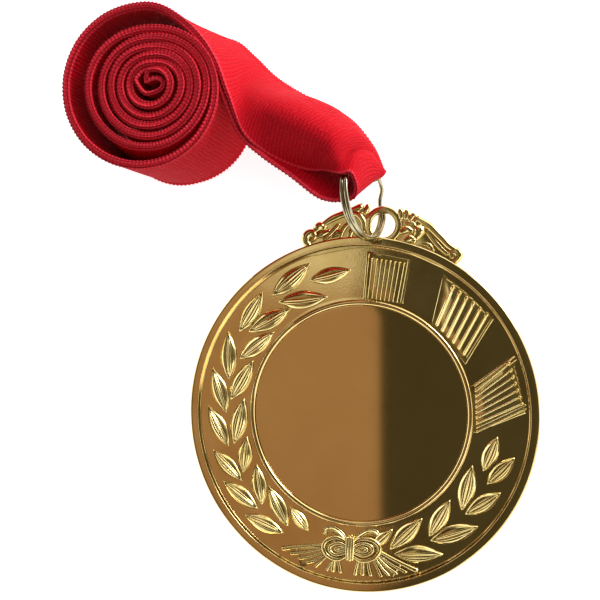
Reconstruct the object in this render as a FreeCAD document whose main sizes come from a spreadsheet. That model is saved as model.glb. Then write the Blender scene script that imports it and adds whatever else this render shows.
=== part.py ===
import FreeCAD, Part
import math
import os

import Sketcher
from FreeCAD import Placement, Rotation, Vector

# A cast award medal lying on its back, with a split ring through its eyelet and a
# woven neck ribbon looped round the ring and rolled up beside it.
# Millimetres.  The medal's back lies on Z = 0 with its centre at the origin, +Z comes
# out of its face and +Y points from its centre to its eyelet.

os.makedirs("parts", exist_ok=True)
doc = FreeCAD.newDocument("award_medal")

# ---------------------------------------------------------------- driving dimensions

SIZES = {
    # the casting
    "medal_radius": 32.5,
    "rim_top": 3.6,
    "rim_inner_radius": 30.9,
    "rim_edge": 0.5,
    "wall_foot_radius": 30.0,
    "field_top": 2.6,
    "bead_radius": 20.35,
    "bead_round": 0.45,
    "recess_radius": 19.85,
    "recess_floor": 1.5,
    "leaf_height": 0.55,
    "rib_height": 0.4,
    "bow_height": 0.7,
    "crest_underside": 1.9,
    "crest_thickness": 1.3,
    "eyelet_x": 0.1,
    "eyelet_y": 34.8,
    "eyelet_hole_radius": 2.35,
    "eyelet_outer_radius": 3.5,
    "eyelet_rounding": 0.5,
    # the mirror disc and the film that holds it
    "disc_radius": 19.8,
    "disc_thickness": 0.9,
    "film_radius": 19.0,
    "film_thickness": 0.1,
    # the split ring: its centre, how far its axis leans from +Z and which way
    "wire_diameter": 0.8,
    "ring_radius": 7.4,
    "coil_spacing": 0.82,
    "ring_x": -3.15,
    "ring_y": 38.86,
    "ring_z": 7.95,
    "ring_lean": 72.5,
    "ring_turn": 13.5,
    # the ribbon
    "ribbon_width": 20.0,
    "ribbon_thickness": 0.6,
    "roll_radius": 15.0,
    "roll_x": -44.0,
    "roll_y": 53.4,
    "fold_bore_radius": 2.0,
    "fold_width": 6.0,
}

# Leaves of the wreath, each from its base to its tip, as polar (degrees, radius) pairs.
OUTER_LEAVES = [
    (245.4, 26.7, 229.3, 29.3), (231.2, 26.5, 214.6, 29.3), (218.1, 25.9, 202.4, 29.1),
    (202.8, 25.9, 185.9, 29.1), (188.5, 25.5, 171.5, 29.4), (174.4, 25.7, 156.7, 29.3),
    (154.6, 27.4, 136.5, 29.0), (134.7, 27.3, 115.6, 29.2), (118.4, 26.2, 100.3, 26.4),
    (-68.4, 26.2, -50.9, 29.4), (-52.7, 26.2, -35.0, 29.3), (-35.2, 26.2, -20.5, 29.0),
    (-20.5, 26.2, -7.2, 29.0),
]
INNER_LEAVES = [
    (254.5, 24.0, 241.0, 21.9), (245.4, 25.2, 226.5, 22.1), (231.2, 25.5, 214.4, 21.9),
    (215.5, 25.1, 200.1, 21.9), (202.5, 24.8, 181.4, 22.1), (183.0, 24.8, 162.4, 22.3),
    (164.5, 24.9, 144.6, 21.9), (152.4, 25.9, 131.3, 23.2), (134.3, 25.6, 112.4, 22.1),
    (-76.9, 24.5, -65.9, 21.9), (-69.6, 25.3, -50.7, 22.1), (-52.3, 25.5, -35.0, 22.6),
    (-35.0, 25.3, -15.9, 22.5), (-16.5, 24.6, -1.0, 25.4),
]
LEAF_SLENDERNESS = 0.3

# Fluted blocks: how many ribs, then the first and the last rib's inner and outer ends.
FLUTED_BLOCKS = [
    (7, (-1.6, 21.9), (3.9, 21.6), (-1.6, 28.0), (5.6, 27.6)),
    (6, (11.4, 18.6), (16.6, 14.3), (13.2, 25.0), (19.8, 20.4)),
    (6, (19.6, 8.4), (21.2, 1.5), (25.3, 12.6), (27.8, 5.6)),
]
RIB_WIDTH = 0.7

# The crest's outline above the rim, from its left end to its right end.
CREST_OUTLINE = [
    (-14.4, 27.5), (-14.3, 30.6), (-12.6, 32.4), (-10.2, 34.0), (-7.6, 35.3), (-5.2, 36.6),
    (-3.4, 36.9), (3.6, 36.9), (6.3, 36.5), (8.9, 35.3), (11.8, 33.3), (14.9, 31.3),
    (15.1, 27.5),
]
CREST_CURLS = [(-13.1, 31.5, 1.05), (14.0, 31.2, 1.05), (-7.4, 33.7, 0.9), (7.9, 33.9, 1.1)]

# Bow at the foot of the wreath: two loops as ellipses and four ribbon ends as outlines.
BOW_LOOPS = [(-3.6, -24.2, 2.1, 1.5), (2.6, -24.5, 2.1, 1.5)]
BOW_KNOT = (-0.5, -24.6, 0.85)
BOW_TAILS = [
    [(-3.0, -26.2), (-7.8, -28.6), (-11.6, -26.8), (-6.2, -25.4)],
    [(2.4, -26.5), (6.4, -28.9), (10.2, -27.2), (5.4, -25.7)],
    [(-1.5, -26.3), (-3.6, -28.9), (-1.9, -29.3), (-0.8, -26.6)],
    [(0.2, -26.6), (1.3, -29.2), (2.9, -28.9), (1.2, -26.4)],
]

# Each leg of the ribbon as cross-sections on the way from the roll to the ring: its
# upper-left edge, its lower-right edge and its thickness there.
UPPER_LEG = [
    ((-33.6, 66.3, 19.6), (-33.0, 67.6, 0.3), 0.7),
    ((-28.9, 58.5, 18.9), (-27.8, 65.4, 0.5), 0.7),
    ((-23.9, 51.0, 16.8), (-18.6, 58.6, 0.7), 0.7),
    ((-18.4, 47.0, 13.6), (-12.4, 53.0, 2.0), 0.8),
]
LOWER_LEG = [
    ((-28.4, 54.5, 17.8), (-28.2, 61.0, 0.3), 0.7),
    ((-24.6, 49.2, 15.9), (-20.8, 55.4, 0.4), 0.7),
    ((-19.6, 44.3, 11.8), (-13.2, 50.2, 0.8), 0.7),
    ((-14.2, 42.6, 9.8), (-10.4, 46.3, 2.0), 0.8),
]

sheet = doc.addObject("Spreadsheet::Sheet", "sizes")
for row, (alias, value) in enumerate(SIZES.items(), start=1):
    sheet.set(f"A{row}", alias.replace("_", " "))
    sheet.set(f"B{row}", str(value))
    sheet.setAlias(f"B{row}", alias)
doc.recompute()


def size(alias):
    """A driving dimension, read back from the sheet."""
    return float(sheet.get(alias))


# ------------------------------------------------------------------ drawing helpers


def new_body(label):
    body = doc.addObject("PartDesign::Body", label)
    body.Label = label
    return body


def new_sketch(body, name, role="XY_Plane", height=None):
    """A sketch on one of its body's own origin planes, raised to a height expression."""
    sketch = body.newObject("Sketcher::SketchObject", name)
    plane = next(f for f in body.Origin.OriginFeatures if f.Role == role)
    sketch.AttachmentSupport = [(plane, "")]
    sketch.MapMode = "FlatFace"
    if height:
        sketch.setExpression("AttachmentOffset.Base.z", height)
    return sketch


def new_pad(body, sketch, name, length):
    pad = body.newObject("PartDesign::Pad", name)
    pad.Profile = sketch
    pad.setExpression("Length", length)
    sketch.Visibility = False
    return pad


def add_circle(sketch, x, y, radius):
    """A circle whose centre and radius are expressions or plain numbers."""
    values = [size(v) if isinstance(v, str) else v for v in (x, y, radius)]
    centre = Vector(values[0], values[1], 0)
    index = sketch.addGeometry(Part.Circle(centre, Vector(0, 0, 1), values[2]))
    if isinstance(radius, str):
        wanted = [("DistanceX", (-1, 1, index, 3), x), ("DistanceY", (-1, 1, index, 3), y)]
        for kind, where, alias in wanted:
            if isinstance(alias, str):
                number = sketch.addConstraint(Sketcher.Constraint(kind, *where, size(alias)))
                sketch.setExpression(f"Constraints[{number}]", f"sizes.{alias}")
        number = sketch.addConstraint(Sketcher.Constraint("Radius", index, size(radius)))
        sketch.setExpression(f"Constraints[{number}]", f"sizes.{radius}")


def add_outline(sketch, points):
    """A closed outline of straight edges."""
    corners = [Vector(x, y, 0) for x, y in points]
    for start, end in zip(corners, corners[1:] + corners[:1]):
        sketch.addGeometry(Part.LineSegment(start, end))


def add_leaf(sketch, base_angle, base_radius, tip_angle, tip_radius):
    """A pointed oval of two arcs from a leaf's base to its tip."""
    base = Vector(base_radius * math.cos(math.radians(base_angle)),
                  base_radius * math.sin(math.radians(base_angle)), 0)
    tip = Vector(tip_radius * math.cos(math.radians(tip_angle)),
                 tip_radius * math.sin(math.radians(tip_angle)), 0)
    along = tip - base
    belly = Vector(-along.y, along.x, 0) * (LEAF_SLENDERNESS / 2)
    middle = (base + tip) / 2
    sketch.addGeometry(Part.Arc(base, middle + belly, tip))
    sketch.addGeometry(Part.Arc(tip, middle - belly, base))


def add_slot(sketch, start, end, width):
    """A long slot with round ends."""
    start = Vector(*start, 0)
    end = Vector(*end, 0)
    along = (end - start).normalize() * (width / 2)
    side = Vector(-along.y, along.x, 0)
    sketch.addGeometry(Part.LineSegment(start + side, end + side))
    sketch.addGeometry(Part.Arc(end + side, end + along, end - side))
    sketch.addGeometry(Part.LineSegment(end - side, start - side))
    sketch.addGeometry(Part.Arc(start - side, start - along, start + side))


def between(first, last, share):
    return tuple(a + (b - a) * share for a, b in zip(first, last))


# ------------------------------------------------------------------------- the medal


def build_medal_body():
    """The casting: rim, field, bead and recess turned, then everything raised on them."""
    body = new_body("medal_body")
    turned_profile = new_sketch(body, "turned_profile", "XZ_Plane")
    radius, edge, top = size("medal_radius"), size("rim_edge"), size("rim_top")
    field, recess = size("field_top"), size("recess_radius")
    bead, round_radius = size("bead_radius"), size("bead_round")
    floor = size("recess_floor")
    outline = [
        (0, 0), (radius - edge, 0), (radius, edge), (radius, top - edge), (radius - edge, top),
        (size("rim_inner_radius"), top), (size("wall_foot_radius"), field),
        (bead + round_radius, field),
    ]
    corners = [Vector(x, z, 0) for x, z in outline]
    for start, end in zip(corners, corners[1:]):
        turned_profile.addGeometry(Part.LineSegment(start, end))
    bead_top = Vector(bead, field + round_radius, 0)
    bead_inner = Vector(bead - round_radius, field, 0)
    turned_profile.addGeometry(Part.Arc(corners[-1], bead_top, bead_inner))
    closing = [bead_inner, Vector(recess, field, 0), Vector(recess, floor, 0),
               Vector(0, floor, 0), Vector(0, 0, 0)]
    for start, end in zip(closing, closing[1:]):
        turned_profile.addGeometry(Part.LineSegment(start, end))
    turned = body.newObject("PartDesign::Revolution", "turned")
    turned.Profile = turned_profile
    turned.ReferenceAxis = (turned_profile, ["V_Axis"])
    turned.Angle = 360

    leaves = [("outer_leaves", OUTER_LEAVES), ("inner_leaves", INNER_LEAVES)]
    for name, row in leaves:
        sketch = new_sketch(body, name + "_outline", height="sizes.field_top")
        for leaf in row:
            add_leaf(sketch, *leaf)
        new_pad(body, sketch, name, "sizes.leaf_height")

    ribs = new_sketch(body, "rib_outlines", height="sizes.field_top")
    for count, inner_first, inner_last, outer_first, outer_last in FLUTED_BLOCKS:
        for number in range(count):
            share = number / (count - 1)
            start = between(inner_first, inner_last, share)
            end = between(outer_first, outer_last, share)
            add_slot(ribs, start, end, RIB_WIDTH)
    new_pad(body, ribs, "ribs", "sizes.rib_height")

    bow = new_sketch(body, "bow_outlines", height="sizes.field_top")
    for x, y, half_width, half_height in BOW_LOOPS:
        bow.addGeometry(Part.Ellipse(Vector(x, y, 0), half_width, half_height))
    add_circle(bow, *BOW_KNOT)
    for tail in BOW_TAILS:
        add_outline(bow, tail)
    new_pad(body, bow, "bow", "sizes.bow_height")

    crest = new_sketch(body, "crest_outline", height="sizes.crest_underside")
    add_outline(crest, CREST_OUTLINE)
    new_pad(body, crest, "crest", "sizes.crest_thickness")
    boss = new_sketch(body, "eyelet_outline", height="sizes.crest_underside")
    add_circle(boss, "eyelet_x", "eyelet_y", "eyelet_outer_radius")
    new_pad(body, boss, "eyelet_boss", "sizes.crest_thickness")
    curls = new_sketch(body, "curl_outlines", height="sizes.crest_underside")
    for curl in CREST_CURLS:
        add_circle(curls, *curl)
    new_pad(body, curls, "crest_curls", "sizes.crest_thickness + sizes.rib_height")

    hole = new_sketch(body, "eyelet_hole_outline")
    add_circle(hole, "eyelet_x", "eyelet_y", "eyelet_hole_radius")
    pocket = body.newObject("PartDesign::Pocket", "eyelet_hole")
    pocket.Profile = hole
    pocket.Type = "ThroughAll"
    pocket.Reversed = True
    hole.Visibility = False
    doc.recompute()

    rounding = body.newObject("PartDesign::Fillet", "eyelet_rounding")
    rounding.Base = (pocket, eyelet_edges(pocket.Shape))
    rounding.setExpression("Radius", "sizes.eyelet_rounding")
    body.Tip = rounding
    return body


def eyelet_edges(shape):
    """The names of the eyelet's round edges: its hole's two and its outer rim's two."""
    names = []
    radii = (size("eyelet_hole_radius"), size("eyelet_outer_radius"))
    for number, edge in enumerate(shape.Edges, start=1):
        if not isinstance(edge.Curve, Part.Circle):
            continue
        if any(abs(edge.Curve.Radius - radius) < 1e-6 for radius in radii):
            names.append(f"Edge{number}")
    return names


def build_round_plate(label, radius, thickness, height):
    """A flat disc on the medal's axis, bound to the sheet."""
    body = new_body(label)
    sketch = new_sketch(body, label + "_outline", height=height)
    add_circle(sketch, 0, 0, radius)
    new_pad(body, sketch, label + "_plate", thickness)
    return body


# -------------------------------------------------------------------- the split ring


def ring_placement():
    """The ring's own frame: its Z is the coil's axis, its X the level line in its plane."""
    turn = Rotation(Vector(0, 0, 1), size("ring_turn"))
    lean = Rotation(Vector(0, 1, 0), size("ring_lean"))
    level = Rotation(Vector(0, 0, 1), 90)
    centre = Vector(size("ring_x"), size("ring_y"), size("ring_z"))
    return Placement(centre, turn * lean * level)


JOG_MIDDLE = 279.0
JOG_HALF_ANGLE = 10.0
SINGLE_HALF_ANGLE = 22.0
JOG_SECTIONS = 7
SEW_TOLERANCE = 1e-4


def wire_section(radius, spacing, angle, share):
    """The wire's round section at one angle, with its share of the step between coils."""
    turned = math.radians(angle)
    outward = Vector(math.cos(turned), math.sin(turned), 0)
    climb = spacing * 6 * share * (1 - share) / (radius * math.radians(2 * JOG_HALF_ANGLE))
    heading = Vector(-outward.y, outward.x, climb).normalize()
    rise = share * share * (3 - 2 * share) - 0.5
    centre = outward * radius + Vector(0, 0, spacing * rise)
    circle = Part.Wire([Part.makeCircle(size("wire_diameter") / 2)])
    circle.Placement = Placement(centre, Rotation(outward, heading.cross(outward), heading,
                                                  "ZXY"))
    return circle


def flat_coil(radius, spacing, start, end, share):
    """One flat coil of the wire, a part of a torus."""
    disc = Part.Face(wire_section(radius, spacing, start, share))
    return disc.revolve(Vector(0, 0, 0), Vector(0, 0, 1), end - start)


def build_split_ring():
    """The two-turn split ring: two flat coils of one wire, joined by a slanting jog."""
    radius, spacing = size("ring_radius"), size("coil_spacing")
    jog_start = JOG_MIDDLE - JOG_HALF_ANGLE
    jog_end = JOG_MIDDLE + JOG_HALF_ANGLE
    sections = []
    for number in range(JOG_SECTIONS):
        share = number / (JOG_SECTIONS - 1)
        angle = jog_start + (jog_end - jog_start) * share
        sections.append(wire_section(radius, spacing, angle, share))
    jog = Part.makeLoft(sections, True, False)
    first = flat_coil(radius, spacing, JOG_MIDDLE + SINGLE_HALF_ANGLE - 360, jog_start, 0)
    second = flat_coil(radius, spacing, jog_end, JOG_MIDDLE - SINGLE_HALF_ANGLE + 360, 1)
    joints = [section.CenterOfMass for section in (sections[0], sections[-1])]
    skin = [face for piece in (first, jog, second) for face in piece.Faces
            if min((face.CenterOfMass - joint).Length for joint in joints)
            > size("wire_diameter") / 4]
    shell = Part.makeShell(skin)
    shell.sewShape(SEW_TOLERANCE)
    ring = doc.addObject("Part::Feature", "split_ring")
    ring.Label = "split_ring"
    ring.Shape = Part.Solid(shell)
    ring.Placement = ring_placement()
    return ring


# ------------------------------------------------------------------------ the ribbon


def build_roll():
    """The rolled-up part of the ribbon, standing on its edge."""
    body = new_body("ribbon_roll")
    sketch = new_sketch(body, "roll_outline")
    add_circle(sketch, "roll_x", "roll_y", "roll_radius")
    new_pad(body, sketch, "roll", "sizes.ribbon_width")
    return body


def build_ring_fold():
    """The turn of the ribbon inside the ring: half a tube round the ring's wire."""
    width, bore = size("fold_width"), size("fold_bore_radius")
    outer = bore + 2 * size("ribbon_thickness")
    wire_point, along, pull = fold_frame()
    half = Part.makeCylinder(outer, width, Vector(0, 0, -width / 2), Vector(0, 0, 1), 180)
    hollow = Part.makeCylinder(bore, width, Vector(0, 0, -width / 2), Vector(0, 0, 1))
    fold = doc.addObject("Part::Feature", "ribbon_ring_fold")
    fold.Label = "ribbon_ring_fold"
    fold.Shape = half.cut(hollow)
    side = along.cross(pull)
    fold.Placement = Placement(wire_point, Rotation(side, pull * -1, along, "ZXY"))
    return fold


def fold_frame():
    """Where the ribbon crosses the ring's wire: the point, the wire's way there and the
    way in which the two legs leave it."""
    place = ring_placement()
    wire_point = place.multVec(Vector(size("ring_radius"), 0, 0))
    along = place.Rotation.multVec(Vector(0, 1, 0))
    if along.z < 0:
        along = along * -1
    towards_roll = Vector(size("roll_x"), size("roll_y"), wire_point.z) - wire_point
    pull = towards_roll - along * towards_roll.dot(along)
    return wire_point, along, pull.normalize()


def leg_section(upper, lower, thickness, face):
    """A thin rectangle between a leg's two edges, thick along the face direction."""
    upper, lower = Vector(*upper), Vector(*lower)
    offset = face * (thickness / 2)
    corners = [upper + offset, lower + offset, lower - offset, upper - offset]
    return Part.makePolygon(corners + corners[:1])


def build_leg(label, sections, sign):
    """One leg of the ribbon: a ruled loft from the roll to the end of the ring fold."""
    wire_point, along, pull = fold_frame()
    middle = size("fold_bore_radius") + size("ribbon_thickness")
    end = wire_point + along.cross(pull) * (middle * sign)
    half = along * (size("fold_width") / 2)
    wires = []
    stations = [(Vector(*a), Vector(*b), t) for a, b, t in sections]
    stations.append((end + half, end - half, 2 * size("ribbon_thickness")))
    for number, (upper, lower, thickness) in enumerate(stations):
        before = stations[max(number - 1, 0)]
        after = stations[min(number + 1, len(stations) - 1)]
        travel = (after[0] + after[1]) - (before[0] + before[1])
        if number == len(stations) - 1:
            travel = pull * -1
        face = travel.cross(upper - lower).normalize()
        wires.append(leg_section(upper, lower, thickness, face))
    leg = doc.addObject("Part::Feature", label)
    leg.Label = label
    leg.Shape = Part.makeLoft(wires, True, True)
    return leg


# ------------------------------------------------------------------- build and write

nodes = [
    build_medal_body(),
    build_round_plate("disc_adhesive", "film_radius", "sizes.film_thickness",
                      "sizes.recess_floor"),
    build_round_plate("centre_disc", "disc_radius", "sizes.disc_thickness",
                      "sizes.recess_floor + sizes.film_thickness"),
    build_split_ring(),
    build_roll(),
    build_ring_fold(),
    build_leg("ribbon_upper_leg", UPPER_LEG, -1),
    build_leg("ribbon_lower_leg", LOWER_LEG, 1),
]
doc.recompute()

for item in doc.Objects:
    if "Invalid" in item.State or "Error" in item.State:
        raise RuntimeError(f"{item.Label} did not build: {item.State}")
for node in nodes:
    if node.Shape.isNull() or not node.Shape.isValid() or not node.Shape.Solids:
        raise RuntimeError(f"{node.Label} has no valid solid")

for node in nodes:
    node.Shape.exportStep(f"parts/{node.Label}.step")
    box = node.Shape.BoundBox
    print(f"{node.Label}: {len(node.Shape.Solids)} solid, {node.Shape.Volume:.1f} mm3, "
          f"{box.XLength:.1f} x {box.YLength:.1f} x {box.ZLength:.1f} mm, "
          f"from z {box.ZMin:.2f}")
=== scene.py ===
"""Award medal with a split ring and a rolled neck ribbon: the looks, around the CAD frame."""
import math

import bpy
import numpy as np
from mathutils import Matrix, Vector


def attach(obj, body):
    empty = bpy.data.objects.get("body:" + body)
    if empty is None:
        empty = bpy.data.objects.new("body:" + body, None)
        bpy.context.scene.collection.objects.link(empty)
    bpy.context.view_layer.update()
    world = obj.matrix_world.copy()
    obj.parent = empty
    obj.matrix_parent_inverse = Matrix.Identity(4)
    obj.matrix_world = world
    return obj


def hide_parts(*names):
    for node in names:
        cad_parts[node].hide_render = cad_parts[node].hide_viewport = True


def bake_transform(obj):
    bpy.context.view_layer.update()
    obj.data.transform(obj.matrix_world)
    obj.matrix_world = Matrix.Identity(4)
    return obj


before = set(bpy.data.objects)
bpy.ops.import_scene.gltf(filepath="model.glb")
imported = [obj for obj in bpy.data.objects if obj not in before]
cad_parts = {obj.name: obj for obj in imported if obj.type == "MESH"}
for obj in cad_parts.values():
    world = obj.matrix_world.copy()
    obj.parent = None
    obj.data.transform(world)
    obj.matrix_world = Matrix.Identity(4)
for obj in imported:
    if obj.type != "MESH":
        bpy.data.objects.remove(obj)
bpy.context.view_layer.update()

# lengths are millimetres until a piece's mesh is made; heights are from the table
MM = 0.001
TAU = 2 * math.pi
FIELD = 2.6
# how far a relief reaches down into the field
SUNK = 0.2

# -------- helpers


def smooth(x, low, high):
    """A soft step from 0 to 1 between two values."""
    t = np.clip((np.asarray(x, float) - low) / (high - low), 0, 1)
    return t * t * (3 - 2 * t)


def bell(x, middle, width):
    """A bump of height 1 round the middle."""
    return np.exp(-(((x - middle) / width) ** 2))


def unit(vectors):
    """The vectors at length one."""
    return vectors / np.linalg.norm(vectors, axis=-1, keepdims=True)


def ring_quads(low, high, count):
    """Quads between two rings of vertices, each given by the number of its first one."""
    return [(low + j, low + (j + 1) % count, high + (j + 1) % count, high + j)
            for j in range(count)]


def polar(degrees, radius):
    """A point of the medal's face, from its bearing and its distance from the centre."""
    a = math.radians(degrees)
    return np.array([radius * math.cos(a), radius * math.sin(a)])


def mix(a, b, share):
    """The point that lies a share of the way from a to b."""
    return np.asarray(a, float) * (1 - share) + np.asarray(b, float) * share


def corner(centre, radius, start, end, steps=6):
    """Points of an arc in a section, from one angle to another in degrees."""
    angles = np.radians(np.linspace(start, end, steps))
    return [(centre[0] + radius * math.cos(a), centre[1] + radius * math.sin(a))
            for a in angles]


def catmull(points, params, closed=False):
    """A Catmull-Rom curve through the points, at fractional indices."""
    points = np.asarray(points, float)
    count = len(points)
    params = np.asarray(params, float)
    index = np.floor(params).astype(int)
    if not closed:
        index = np.clip(index, 0, count - 2)
    t = params - index
    shape = (-1,) + (1,) * (points.ndim - 1)
    t = t.reshape(shape)

    def pick(offset):
        i = index + offset
        return points[i % count] if closed else points[np.clip(i, 0, count - 1)]

    a, b, c, d = pick(-1), pick(0), pick(1), pick(2)
    if not closed:
        first = (index == 0).reshape(shape)
        last = (index == count - 2).reshape(shape)
        a = np.where(first, 2 * b - c, a)
        d = np.where(last, 2 * c - b, d)
    return 0.5 * (2 * b + (c - a) * t + (2 * a - 5 * b + 4 * c - d) * t ** 2
                  + (3 * b - a - 3 * c + d) * t ** 3)


class Shell:
    """Collects closed shells, in millimetres, that become one mesh."""

    def __init__(self):
        self.verts, self.faces, self.count = [], [], 0

    def add(self, verts, faces):
        verts = np.asarray(verts, float)
        self.verts.append(verts)
        self.faces += [tuple(int(i) + self.count for i in f) for f in faces]
        self.count += len(verts)

    def add_relief(self, top, floor):
        """A raised patch: its top grid (rows, columns, 3), skirts down to the floor."""
        rows, cols = top.shape[:2]
        number = np.arange(rows * cols).reshape(rows, cols)
        edge = np.r_[number[0], number[1:, -1], number[-1, -2::-1], number[-2:0:-1, 0]]
        below = rows * cols + np.arange(len(edge))
        points = top.reshape(-1, 3)
        base = points[edge]
        base[:, 2] = floor
        quads = np.stack([number[:-1, :-1], number[1:, :-1], number[1:, 1:],
                          number[:-1, 1:]], axis=2).reshape(-1, 4)
        skirt = np.c_[below, np.roll(below, -1), np.roll(edge, -1), edge]
        faces = [*quads.tolist(), *skirt.tolist(), below[::-1].tolist()]
        along = top[-1, cols // 2] - top[0, cols // 2]
        across = top[rows // 2, -1] - top[rows // 2, 0]
        if along[0] * across[1] <= along[1] * across[0]:
            faces = [face[::-1] for face in faces]
        self.add(np.vstack([points, base]), faces)

    def add_tube(self, centres, radii, squash, sides):
        """A round-ended rope through the centres, its height squashed by a factor."""
        tangent = unit(np.gradient(centres, axis=0))
        side = unit(np.cross(tangent, (0.0, 0.0, 1.0)))
        rise = np.cross(side, tangent)
        rings = []
        caps = (0.98, 0.85, 0.6, 0.3)
        for share in caps:
            back = centres[0] - tangent[0] * radii[0] * share
            rings.append((back, side[0], rise[0], radii[0] * math.sqrt(1 - share ** 2)))
        rings += zip(centres, side, rise, radii)
        for share in caps[::-1]:
            ahead = centres[-1] + tangent[-1] * radii[-1] * share
            rings.append((ahead, side[-1], rise[-1], radii[-1] * math.sqrt(1 - share ** 2)))
        angle = np.arange(sides) * TAU / sides
        verts = []
        for centre, s, r, radius in rings:
            verts.append(centre + radius * (np.cos(angle)[:, None] * s
                                            + squash * np.sin(angle)[:, None] * r))
        verts = np.vstack(verts)
        faces = []
        for k in range(len(rings) - 1):
            faces += ring_quads(k * sides, (k + 1) * sides, sides)
        faces.append(tuple(range(sides))[::-1])
        last = (len(rings) - 1) * sides
        faces.append(tuple(range(last, last + sides)))
        self.add(verts, faces)

    def piece(self, name, material, body, slot, sharp):
        """The finished piece, riding on its body if it has one."""
        verts = np.vstack(self.verts) * MM
        mesh = bpy.data.meshes.new(name)
        mesh.from_pydata(verts.tolist(), [], self.faces)
        mesh.validate()
        mesh.update()
        for polygon in mesh.polygons:
            polygon.use_smooth = True
        obj = bpy.data.objects.new(name, mesh)
        bpy.context.scene.collection.objects.link(obj)
        mesh.materials.append(material)
        if sharp:
            mesh.set_sharp_from_angle(angle=math.radians(sharp))
        if body:
            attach(obj, body)
        return obj


def lathe(profile, segments):
    """A turned closed shell from (radius, height) points that start and end on the axis."""
    angle = np.arange(segments) * TAU / segments
    inner = profile[1:-1]
    verts = [(0.0, 0.0, profile[0][1])]
    for r, z in inner:
        verts += list(zip(r * np.cos(angle), r * np.sin(angle), np.full(segments, z)))
    verts.append((0.0, 0.0, profile[-1][1]))
    last = 1 + (len(inner) - 1) * segments
    faces = []
    for j in range(segments):
        m = (j + 1) % segments
        faces += [(0, 1 + m, 1 + j), (last + j, last + m, len(verts) - 1)]
    for first in range(1, last, segments):
        faces += ring_quads(first, first + segments, segments)
    return np.array(verts), faces


# -------- materials


class Nodes:
    """A material's node tree, with short calls."""

    def __init__(self, name):
        self.material = bpy.data.materials.new(name)
        self.material.use_nodes = True
        self.tree = self.material.node_tree
        self.shader = self.tree.nodes["Principled BSDF"]

    def settings(self, values):
        """Constant values of the shader's sockets."""
        for socket, value in values.items():
            self.shader.inputs[socket].default_value = value

    def add(self, kind, **values):
        node = self.tree.nodes.new(kind)
        for key, value in values.items():
            setattr(node, key, value)
        return node

    def link(self, source, target):
        self.tree.links.new(source, target)

    def math(self, operation, a, b=None, c=None):
        node = self.tree.nodes.new("ShaderNodeMath")
        node.operation = operation
        for socket, value in zip(node.inputs, (a, b, c)):
            if value is None:
                continue
            if isinstance(value, (int, float)):
                socket.default_value = value
            else:
                self.link(value, socket)
        return node.outputs[0]

    def times(self, a, b, plus=None):
        """A product, with a third value added if there is one."""
        return self.math("MULTIPLY" if plus is None else "MULTIPLY_ADD", a, b, plus)

    def ramp(self, factor, stops):
        """Colours by the factor, each stop a position and a colour."""
        node = self.add("ShaderNodeValToRGB")
        elements = node.color_ramp.elements
        for position, colour in stops[1:-1]:
            elements.new(position)
        for element, (position, colour) in zip(elements, stops):
            element.position = position
            element.color = (*colour, 1)
        self.link(factor, node.inputs[0])
        return node.outputs[0]

    def step(self, value, low, high):
        """A soft step from 0 to 1 between two values."""
        node = self.add("ShaderNodeMapRange", interpolation_type="SMOOTHSTEP")
        node.inputs["From Min"].default_value = low
        node.inputs["From Max"].default_value = high
        self.link(value, node.inputs["Value"])
        return node.outputs[0]

    def mix(self, factor, a, b):
        """A blend of two colours."""
        node = self.add("ShaderNodeMix", data_type="RGBA")
        self.link(factor, node.inputs[0])
        for socket, value in ((node.inputs[6], a), (node.inputs[7], b)):
            if isinstance(value, tuple):
                socket.default_value = (*value, 1)
            else:
                self.link(value, socket)
        return node.outputs[2]

    def noise(self, scale, detail, vector=None):
        """Noise over the object's own space, or over a given vector."""
        node = self.add("ShaderNodeTexNoise")
        node.inputs["Scale"].default_value = scale
        node.inputs["Detail"].default_value = detail
        if vector is None:
            vector = self.object_point()
        self.link(vector, node.inputs["Vector"])
        return node.outputs["Fac"]

    def object_point(self):
        return self.add("ShaderNodeTexCoord").outputs["Object"]

    def bump(self, height, distance):
        node = self.add("ShaderNodeBump")
        node.inputs["Distance"].default_value = distance
        self.link(height, node.inputs["Height"])
        self.link(node.outputs[0], self.shader.inputs["Normal"])


# noise scales per metre: the plating's colour clouds and the patches of its polish
CLOUDS, PATCHES = 140.0, 900.0


def plated(name, dark, light, roughness, spread, grain_scale, grain_depth):
    """Polished plating with slight colour clouds and the fine grain of a casting."""
    n = Nodes(name)
    n.settings({"Metallic": 1.0})
    clouds = n.noise(CLOUDS, 2.0)
    n.link(n.ramp(clouds, [(0.3, dark), (0.7, light)]), n.shader.inputs["Base Color"])
    patches = n.noise(PATCHES, 3.0)
    n.link(n.times(patches, spread, roughness), n.shader.inputs["Roughness"])
    n.bump(n.noise(grain_scale, 4.0), grain_depth)
    return n.material


# the ribbon's flat width, and the pitches of its weave
WIDTH = 20.0
RIB_PITCH, THREAD_PITCH, TWILL_PITCH = 0.72, 0.42, 0.31
# the ribbon's back has the same UV map, this far along the width
BACK_SHIFT = 30.0
# the cord along each selvedge, from the middle of the ribbon
CORD_START, CORD_FULL = 9.0, 9.4
CORD_RED = (0.95, 0.045, 0.075)
# the cloth's reds: darkest where painted shade fills the rib valleys, lightest on the crests,
# with random tone between
CLOTH_REDS = [(0.25, (0.46, 0.001, 0.006)), (0.5, (0.62, 0.002, 0.012)),
              (0.8, (0.76, 0.006, 0.024))]
WEAVE_DEPTH = 0.00005


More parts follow.
